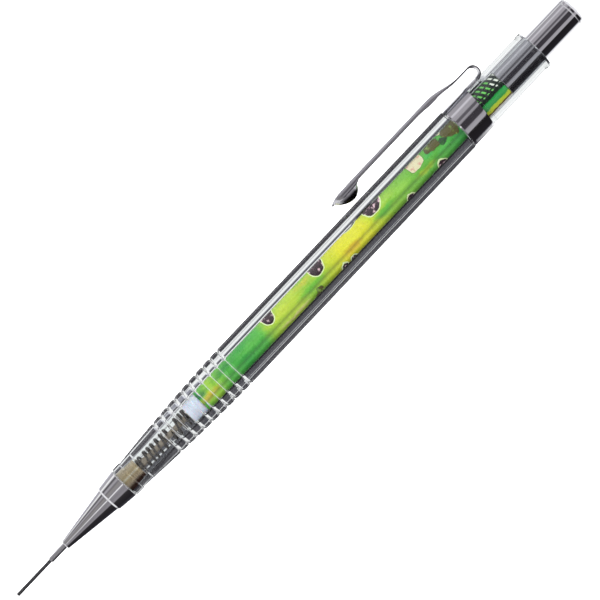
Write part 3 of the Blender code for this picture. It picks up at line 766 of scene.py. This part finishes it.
# ---- push train ----
def push_train():
    """Connector, lead tube and the two printed sleeves on the tube."""
    inner = LEAD_R + 0.15 * MM
    face = TUBE_START - TOUCH
    outline = [(CONNECTOR_START, STEM_R + TOUCH)]
    outline += near(CONNECTOR_START, CONNECTOR_R, (0, 0), (1.0, 0), (1.08, -0.08), (1.25, -0.08), (1.33, 0))
    outline += [(face, CONNECTOR_R), (face, SPIGOT_R), (CONNECTOR_END, SPIGOT_R), (CONNECTOR_END, inner)]
    outline += [(STEM_END + TOUCH, inner), (STEM_END + TOUCH, STEM_R + TOUCH)]
    turned_tube("connector_moulded", outline, 0.12 * MM, SMALL_ROUND, MILKY, "core", ["chuck_connector"],
                "milky_plastic")
    turned_tube("tube_extruded", sleeve(TUBE_START, TUBE_END, 1.55 * MM, TUBE_R), 0.06 * MM, SMALL_ROUND,
                TUBE_WHITE, "core", ["lead_tube"], "white_plastic")
    inside = TUBE_R + TOUCH
    rear, steps = COLLAR_FRONT - TOUCH, 60
    outline = [(FILM_START + (rear - FILM_START) * k / steps, FILM_R) for k in range(steps + 1)]
    outline += [(rear, inside), (FILM_START, inside)]
    turned_tube("film_sleeve", outline, 0.02 * MM, ROUND, FILM, "core", ["printed_film"], "green_film")
    turned_tube("collar_sleeve", sleeve(COLLAR_FRONT, COLLAR_END, inside, COLLAR_R), 0.08 * MM, ROUND, COLLAR,
                "core", ["printed_collar"], "collar_print")


def patch(name, x, side, half_x, half_y, material, lift, waves, phase):
    """A printed patch on the film: an oval, as seen from above, with a wavy edge; side is its middle's y."""
    radius = FILM_R + lift
    count, rings = 48, 6
    turn_at = math.asin(side / radius)
    outward = math.copysign(1.0, side)
    off_top = abs(side) > 0.3 * FILM_R
    verts = [round_axis(x, radius, turn_at)]
    for j in range(1, rings + 1):
        for k in range(count):
            a = 2 * math.pi * k / count
            ripple = math.sin(3 * a + phase) + 0.5 * math.sin(7 * a + 2 * phase)
            edge = (1 + waves * ripple) * j / rings
            rise = half_y * edge * math.sin(a)
            if rise * outward > 0 and off_top:
                turn = turn_at + rise / FILM_R
            else:
                turn = math.asin(max(-0.99, min(0.99, (side + rise) / radius)))
            verts.append(round_axis(x + half_x * edge * math.cos(a), radius, turn))
    faces = [(0, 1 + k, 1 + (k + 1) % count) for k in range(count)]
    for j in range(rings - 1):
        a, b = 1 + j * count, 1 + (j + 1) * count
        for k in range(count):
            n = (k + 1) % count
            faces.append((a + k, b + k, b + n, a + n))
    mesh = bpy.data.meshes.new(name)
    mesh.from_pydata(verts, [], faces)
    link(name, mesh, material, "core", slot="green_film")


# each kind of motif: its look, its rim's look, the rim's width in mm, and how wavy both are
KINDS = {
    "BLOTCH": (BLOTCH, OUTLINE, 0.20, 0.04), "LEAF": (LEAF, SHADE, 0.06, 0.09),
    "OLIVE": (OLIVE, SHADE, 0.06, 0.16), "SHADE": (SHADE, SHADE, 0.06, 0.12),
}
# each motif: station from the sleeve's mouth, its middle's side and half sizes, all in mm, and its kind
MOTIFS = [
    (61.6, 1.85, 1.40, 1.35, "BLOTCH"), (74.7, 1.70, 1.70, 1.45, "BLOTCH"),
    (90.3, 1.95, 2.20, 1.35, "BLOTCH"), (84.6, 2.15, 1.50, 0.45, "BLOTCH"),
    (72.2, -2.10, 1.30, 0.95, "OLIVE"), (78.9, -2.10, 0.80, 0.75, "BLOTCH"),
    (81.2, -2.12, 0.70, 0.60, "BLOTCH"), (96.9, -2.10, 0.90, 0.75, "BLOTCH"),
    (105.6, -2.05, 1.05, 0.85, "BLOTCH"), (101.8, 1.75, 1.80, 1.50, "LEAF"),
    (106.4, 1.60, 1.60, 1.00, "OLIVE"), (111.0, 1.45, 1.70, 1.65, "OLIVE"),
    (109.4, 2.05, 1.00, 0.50, "LEAF"), (113.2, 2.00, 0.90, 0.75, "BLOTCH"),
    (108.6, 0.60, 0.80, 0.50, "SHADE"),
]


def motifs():
    for k, (station, side, half_x, half_y, kind) in enumerate(MOTIFS):
        look, rim_look, rim, waves = KINDS[kind]
        x = SLEEVE_TIP + station * MM
        lift = 0.012 + 0.002 * (k % 3)  # mm above the film, so that overlapping motifs don't share a surface
        patch(f"motif_rim_{k + 1}", x, side * MM, (half_x + rim) * MM, (half_y + rim) * MM, rim_look,
              (lift - 0.004) * MM, waves, k)
        patch(f"motif_{k + 1}", x, side * MM, half_x * MM, half_y * MM, look, (lift + 0.004) * MM, waves, k)


def cap():
    """Push cap: a plated cup with a fine groove and a rounded rear edge."""
    bore = TUBE_R + PLAY
    ceiling = CAP_END - 0.8 * MM
    edge, arc = 0.75 * MM, 6
    outline = [(CAP_START, bore), (CAP_START, CAP_R), (BARREL_END + 0.9 * MM, CAP_R)]
    outline += near(CAP_END, CAP_R, (-1.25, 0), (-1.15, -0.05), (-1.05, 0))
    for k in range(1, arc + 1):
        a = math.pi / 2 * k / arc
        outline.append((CAP_END - edge + edge * math.sin(a), CAP_R - edge + edge * math.cos(a)))
    outline.append((CAP_END, 0.4 * MM))
    outside = held(rounded(outline, SOFT, closed=False), closed=False)[1:]
    inside = [(ceiling, 0.3 * MM)] + near(ceiling, bore, (0, -0.2), (-0.2, 0)) + [(CAP_START, bore)]
    loops = [circle(x, r, FINE_ROUND) for x, r in held(inside, closed=False) + outside]
    link("cap_plated", solid_mesh("cap_plated", loops), CAP_CHROME, "cap", ["push_cap"], "cap_chrome")


def cap_fillings():
    """Ferrule and eraser; the cleaning pin and the spare leads keep their CAD shapes."""
    floor = ERASER_START - TOUCH
    pin_hole = PIN_R + TOUCH
    outline = [(FERRULE_START, pin_hole), (FERRULE_START, SPIGOT_R), (TUBE_END + TOUCH, SPIGOT_R)]
    outline += [(TUBE_END + TOUCH, FERRULE_R), (FERRULE_END, FERRULE_R), (FERRULE_END, ERASER_R + TOUCH)]
    outline += [(floor, ERASER_R + TOUCH), (floor, pin_hole)]
    turned_tube("ferrule_moulded", outline, 0.08 * MM, SMALL_ROUND, FERRULE_WHITE, "core", ["eraser_ferrule"],
                "ferrule_plastic")
    outline = [(ERASER_START, 0.4 * MM), (ERASER_START, ERASER_R)]
    outline += near(ERASER_END, ERASER_R, (-0.2, 0), (0, -0.25)) + [(ERASER_END, 0.4 * MM)]
    outline = held(rounded(outline, 0.2 * MM, closed=False), closed=False)
    mesh = solid_mesh("eraser_plug", [circle(x, r, SMALL_ROUND) for x, r in outline])
    link("eraser_plug", mesh, VINYL, "core", ["eraser"], "eraser_vinyl")
    NODES["cleaning_pin"].material_slots[0].material = PIN_METAL
    for k in (1, 2, 3):
        NODES[f"spare_lead_{k}"].material_slots[0].material = SPARE_GRAPHITE


push_train()
motifs()
cap()
cap_fillings()

# ---- clip ----
SHEET = 0.30 * MM
TONGUE_R = NECK_R + TOUCH
BAND_R = NECK_R - 0.04 * MM
BEND_START = BEND_END - 1.65 * MM
TONGUE_HALF = math.radians(30)
BEND_R = 1.1 * MM
CLIP_HALF = 1.90 * MM
BALL_AT = CLIP_TIP + 4.0 * MM
BALL_FRONT = 3.6 * MM  # from the ball's middle to its front edge
BALL_REAR = 2.9 * MM
BALL_HALF = 1.25 * MM
BALL_OUTER, BALL_INNER = 1.55 * MM, 2.62 * MM  # depth of its hollow on top, and of its dome below
BAND_SLANT = 1.05 * MM  # how much shorter the band is on the side away from the clip


def clip_band():
    """A ring round the neck; towards the clip its rear edge runs on as a tongue."""
    start, end = BAND_LOW[0], BAND_END - TOUCH
    count, rows = 192, 22
    margin, fillet = 0.05, 0.13  # radians past the tongue's edge, and over which it turns into the ring
    outer, inner = [], []
    for j in range(rows + 1):
        out_loop, in_loop = [], []
        for k in range(count):
            a = 2 * math.pi * k / count
            off = abs((a - math.pi / 2 + math.pi) % (2 * math.pi) - math.pi)
            blend = min(1.0, max(0.0, (TONGUE_HALF + margin - off) / fillet))
            rear = end - BAND_SLANT * (1 - math.sin(a)) / 2
            reach = rear + (BEND_START - rear) * blend * blend * (3 - 2 * blend)
            x = start + (reach - start) * j / rows
            lift = (TONGUE_R - BAND_R) * blend if x > end - 0.3 * MM else 0.0
            edge = 0.05 * MM if j in (0, rows) else 0.0
            out_loop.append(round_axis(x, BAND_R + SHEET + lift - edge, a))
            in_loop.append(round_axis(x, BAND_R + lift, a))
        outer.append(out_loop)
        inner.append(in_loop)
    mesh = ring_mesh("band_plated", outer + inner[::-1], closed_tube=True)
    link("band_plated", mesh, BAND_METAL, "barrel", ["clip_band"], "band_steel")


def clip_path():
    """The middle of the clip's sheet, as (x, distance from the axis), from its root to its tip."""
    root = TONGUE_R + SHEET / 2
    top = CLIP_TOP - SHEET / 2
    leg = top - 1.33 * MM
    turn = BEND_END - SHEET / 2 - BEND_R
    arc = 14
    quarter = [math.pi / 2 * k / arc for k in range(arc + 1)]
    path = [(BEND_START + TOUCH, root)]
    path += [(turn + BEND_R * math.sin(a), root + BEND_R * (1 - math.cos(a))) for a in quarter]
    path += [(turn + BEND_R * math.cos(a), leg - BEND_R * (1 - math.sin(a))) for a in quarter]
    root_rows = len(path)
    knee = BAND_END + 0.9 * MM
    path += [(turn + (knee - turn) * k / 4, leg) for k in range(1, 5)]
    rise = 7.3 * MM
    for t in (k / 20 for k in range(1, 21)):
        path.append((knee - rise * t, leg + (top - leg) * (3 * t * t - 2 * t ** 3)))
    spoon = CLIP_TIP + 8.2 * MM
    arm = knee - rise - spoon
    path += [(spoon + arm * (1 - k / 24), top) for k in range(1, 25)]
    for t in (k / 60 for k in range(1, 61)):
        path.append((spoon - (spoon - CLIP_TIP) * t, top - 0.72 * MM * t ** 7))
    return path, root_rows


def clip_half(x):
    """Half the clip's width: a round tip, a slight waist and a wider root (lengths here in mm)."""
    from_tip = (x - CLIP_TIP) / MM
    nose, waist_start, waist, widening = 2.6, 4.0, 26.0, 11.0
    spoon = CLIP_HALF * math.sqrt(max(0.30, 1 - (1 - min(1.0, from_tip / nose)) ** 2))
    arm = CLIP_HALF * (1 - 0.12 * math.sin(math.pi * min(1.0, max(0.0, from_tip - waist_start) / waist)))
    wide = 0.30 * MM * min(1.0, max(0.0, (x - BAND_START) / MM + 2.0) / widening)
    return min(spoon, arm) + wide


def clip_sides(x):
    """How far the clip's side edges turn down, deepest at the ball and a little deeper over the band."""
    from_tip = (x - CLIP_TIP) / MM
    leaf = max(0.0, 1 - ((from_tip - 4.0) / 3.3) ** 4)
    channel = 0.62 * min(1.0, from_tip / 2.0) ** 0.7 + 0.50 * leaf
    shoulder = max(0.0, 1 - abs(x - BAND_START) / (3.0 * MM))
    fade = min(1.0, max(0.0, (BAND_END - x) / (5.0 * MM)))
    return (channel + 0.30 * shoulder) * fade * MM


def clip_arm():
    """The bent sheet: a U-bend off the tongue, then the arm with its ball."""
    path, root_rows = clip_path()
    root_drop = TONGUE_R * (1 - math.cos(TONGUE_HALF))
    root_half = TONGUE_R * math.sin(TONGUE_HALF)
    columns = 56
    loops = []
    for i, (x, y) in enumerate(path):
        before, after = path[max(0, i - 1)], path[min(len(path) - 1, i + 1)]
        along = Vector((after[0] - before[0], after[1] - before[1])).normalized()
        normal = Vector((0, -1)) if i == 0 else Vector((along.y, -along.x))
        out_row, in_row = [], []
        bend = min(1.0, i / root_rows)
        half = root_half + (clip_half(min(x, BEND_START)) - root_half) * bend ** 3
        reach = BALL_FRONT if x < BALL_AT else BALL_REAR
        for t in (2 * k / columns - 1 for k in range(columns + 1)):
            if i <= root_rows:
                point = Vector((x, y)) + normal * root_drop * (1 - bend) ** 2 * t * t
                dent = 0.0
            else:
                point = Vector((x, y)) - normal * clip_sides(x) * abs(t) ** 9
                away = ((x - BALL_AT) / reach) ** 2 + (half * t / BALL_HALF) ** 2
                dent = max(0.0, 1 - away) ** 0.8
            a = point + normal * SHEET / 2
            b = point - normal * SHEET / 2
            out_row.append((a.x, a.y - BALL_OUTER * dent, AXIS_Z + half * t))
            in_row.append((b.x, b.y - BALL_INNER * dent, AXIS_Z + half * t))
        loops.append(out_row + in_row[::-1])
    piece = link("clip_sprung", solid_mesh("clip_sprung", loops), CLIP_METAL, None, slot="clip_steel")
    bevel = piece.modifiers.new("edges", "BEVEL")
    bevel.width = 0.05 * MM
    bevel.segments = 2
    bevel.limit_method = "ANGLE"
    bevel.angle_limit = math.radians(50)
    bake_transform(piece)
    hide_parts("clip_arm")


clip_band()
clip_arm()

# ---- floor, light and camera ----
TURN = math.radians(46.58)  # how far the pencil is turned from the picture's level
CAMERA_HEIGHT = 0.55
VIEW_WIDTH = 113.74 * MM  # width of the view at the pencil's axis
SENSOR = 36.0  # mm
VIEW_STATION = -1.635 * MM
VIEW_RIGHT, VIEW_UP = 1.99 * MM, 1.54 * MM  # the picture's middle, from that station on the axis
WHITE = (1, 1, 1, 1)


def stage():
    size = 1.2
    mesh = bpy.data.meshes.new("floor")
    corners = [(-size, -size, 0), (size, -size, 0), (size, size, 0), (-size, size, 0)]
    mesh.from_pydata(corners, [], [(0, 1, 2, 3)])
    floor = bpy.data.objects.new("floor", mesh)
    floor.location.z = -TOUCH
    look = Look("pale_floor")
    look.set(Base_Color=(0.85, 0.85, 0.86, 1), Roughness=0.9, Emission_Color=WHITE, Emission_Strength=1.0)
    mesh.materials.append(look.material)
    bpy.context.scene.collection.objects.link(floor)
    floor.visible_glossy = False
    floor.visible_transmission = False


# surroundings: degrees round the pencil from straight up towards the clip's side, and a tone there
OVER_FLATS = [
    (-113, "252327"), (-52, "1E1C1E"), (-48, "B0ADB2"), (-27, "A6A3A8"), (-23, "403D42"),
    (8, "3C393E"), (11, "969398"), (21, "A29FA4"), (24, "625F64"), (36, "625F64"),
    (40, "A8A5AA"), (61, "ACA9AE"), (65, "D8D5DB"), (73, "D8D5DB"), (77, "A9A6AB"),
    (102, "A3A0A5"), (105, "FFFFFF"), (112, "F8F8FC"), (116, "48464C"),
]
OVER_PARTS = [(-180, "FFFFFF"), (-179.5, "FFFFFF"), (-178.8, "525157"), (-160, "525157"), (-140, "4A484E")]
OVER_PARTS += OVER_FLATS
OVER_PARTS += [
    (143, "4A484E"), (147, "84848E"), (151, "9898A4"), (156, "FFFFFF"), (178, "FFFFFF"), (178.6, "807E84"),
    (179.4, "807E84"), (179.8, "FFFFFF"),
]
OVER_TIP = [
    (-180, "FFFFFF"), (-178, "FFFFFF"), (-169, "5C5C62"), (-150, "4A4A50"), (-113, "242226"),
    (-55, "302E30"), (-47, "928F94"), (-20, "8A878C"), (-10, "908D92"), (-4, "A4A1A6"),
    (-2.5, "FFFFFF"), (2.5, "FFFFFF"), (5, "8E8B90"), (30, "94918F"), (36, "7F7C80"),
    (44, "7F7C80"), (50, "A8A5AA"), (60, "A8A5AA"), (69, "605E62"), (78, "605E62"),
    (84, "B4B2B6"), (92, "FFFFFF"), (101, "FFFFFF"), (106, "B0AEB4"), (125, "B4B2B8"),
    (139, "C0C0C8"), (150, "DCDCE6"), (161, "FFFFFF"), (180, "FFFFFF"),
]
OVER_NECK = [(-180, "FFFFFF"), (-128, "FFFFFF"), (-121, "B4B4BC"), (-116, "505055")] + OVER_FLATS
OVER_NECK += [(120, "68666C"), (127, "DADAE0"), (140, "FFFFFF")]
# share of a direction that points along the pencil, where one set of tones blends into the next
TIP_SIDE = (-0.104, -0.095)
NECK_SIDE = (0.083, 0.088)
END_SIDE = (0.45, 0.60)
END_TONE = (0.9, 0.9, 0.92, 1)


def surroundings():
    """The studio that metal and clear plastic show, with a white backdrop for the camera."""
    world = bpy.data.worlds.new("studio")
    bpy.context.scene.world = world
    world.use_nodes = True
    sky = Nodes(world.node_tree, "Generated")
    axes = sky.xyz()
    along = axes["X"]
    turn = sky.over(sky.math("ARCTAN2", axes["Y"], axes["Z"]), -math.pi, math.pi)

    def tones(stops):
        return sky.tone_ramp(turn, [((degrees + 180) / 360, tone) for degrees, tone in stops])

    seen = sky.mix(sky.over(along, *TIP_SIDE), tones(OVER_TIP), tones(OVER_PARTS))
    seen = sky.mix(sky.over(along, *NECK_SIDE), seen, tones(OVER_NECK))
    seen = sky.mix(sky.over(sky.math("ABSOLUTE", along), *END_SIDE), seen, END_TONE)
    camera_ray = sky.node("ShaderNodeLightPath").outputs["Is Camera Ray"]
    sky.join(sky.mix(camera_ray, seen, WHITE), sky.tree.nodes["Background"].inputs["Color"])


def lamp(name, place, size, power):
    """An area lamp aimed at the pencil's middle, unseen in reflections."""
    light = bpy.data.lights.new(name, "AREA")
    light.shape = "RECTANGLE"
    light.size, light.size_y = size
    light.energy = power
    ob = bpy.data.objects.new(name, light)
    ob.location = place
    ob.rotation_euler = (-Vector(place)).to_track_quat("-Z", "Y").to_euler()
    ob.visible_glossy = False
    ob.visible_transmission = False
    bpy.context.scene.collection.objects.link(ob)


def camera():
    data = bpy.data.cameras.new("camera")
    cam = bpy.data.objects.new("camera", data)
    bpy.context.scene.collection.objects.link(cam)
    bpy.context.scene.camera = cam
    data.sensor_width = SENSOR
    data.lens = SENSOR * CAMERA_HEIGHT / VIEW_WIDTH
    data.clip_start = 0.01
    right = Vector((math.cos(TURN), -math.sin(TURN), 0))
    up = Vector((math.sin(TURN), math.cos(TURN), 0))
    middle = Vector((VIEW_STATION, 0, AXIS_Z)) + right * VIEW_RIGHT + up * VIEW_UP
    back = Vector((0, 0, 1))
    turned = Matrix((right, up, back)).transposed().to_4x4()
    cam.matrix_world = Matrix.Translation(middle + back * CAMERA_HEIGHT) @ turned


stage()
surroundings()
lamp("key", (-0.15, 0.25, 0.6), (0.5, 0.3), 5.0)
lamp("fill", (0.3, -0.2, 0.7), (0.4, 0.4), 2.5)
camera()
bpy.context.scene.view_settings.view_transform = "Standard"
